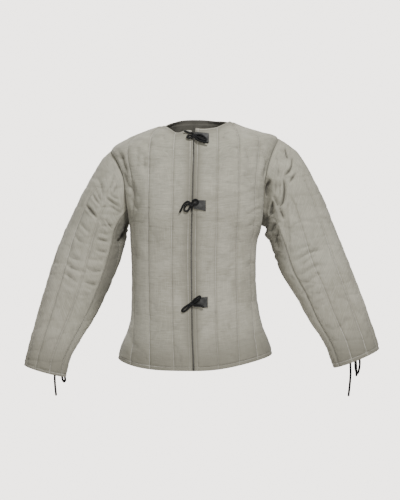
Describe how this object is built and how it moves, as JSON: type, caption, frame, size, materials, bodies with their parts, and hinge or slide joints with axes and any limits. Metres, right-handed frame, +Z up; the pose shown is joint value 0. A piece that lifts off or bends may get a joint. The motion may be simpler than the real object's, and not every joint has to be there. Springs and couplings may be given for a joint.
{
  "type": "gambeson",
  "caption": "Hip-length quilted canvas arming jacket with long sleeves and an open round neck, its front closed edge to edge by laces tied through leather tabs.",
  "frame": {"origin": "middle of the neck opening, at the height where the shoulders carry the jacket", "axes": "+Z up, the front of the jacket faces -Y, the wearer's right side is at -X"},
  "size_m": [0.963, 0.2892, 0.773],
  "materials": {
    "canvas": "matt undyed cotton canvas",
    "leather": "worn grey-black leather",
    "lace": "black round cord"
  },
  "bodies": {
    "root": {"front_right": "canvas", "front_left": "canvas", "back_right": "canvas", "back_left": "canvas", "sleeve_right_top": "canvas", "sleeve_right_under": "canvas", "sleeve_left_top": "canvas", "sleeve_left_under": "canvas", "tab_1": "leather", "tab_2": "leather", "tab_3": "leather", "knot_1": "lace", "lace_1_loop_left": "lace", "lace_1_loop_right": "lace", "lace_1_end_left": "lace", "lace_1_end_right": "lace", "knot_2": "lace", "lace_2_loop_left": "lace", "lace_2_loop_right": "lace", "lace_2_end_left": "lace", "lace_2_end_low": "lace", "knot_3": "lace", "lace_3_loop_left": "lace", "lace_3_loop_right": "lace", "lace_3_end_right": "lace", "cuff_knot_right": "lace", "cuff_lace_right_loop": "lace", "cuff_lace_right_end": "lace", "cuff_knot_left": "lace", "cuff_lace_left_loop": "lace", "cuff_lace_left_end": "lace", "cuff_lace_left_end_short": "lace"}
  },
  "joints": []
}
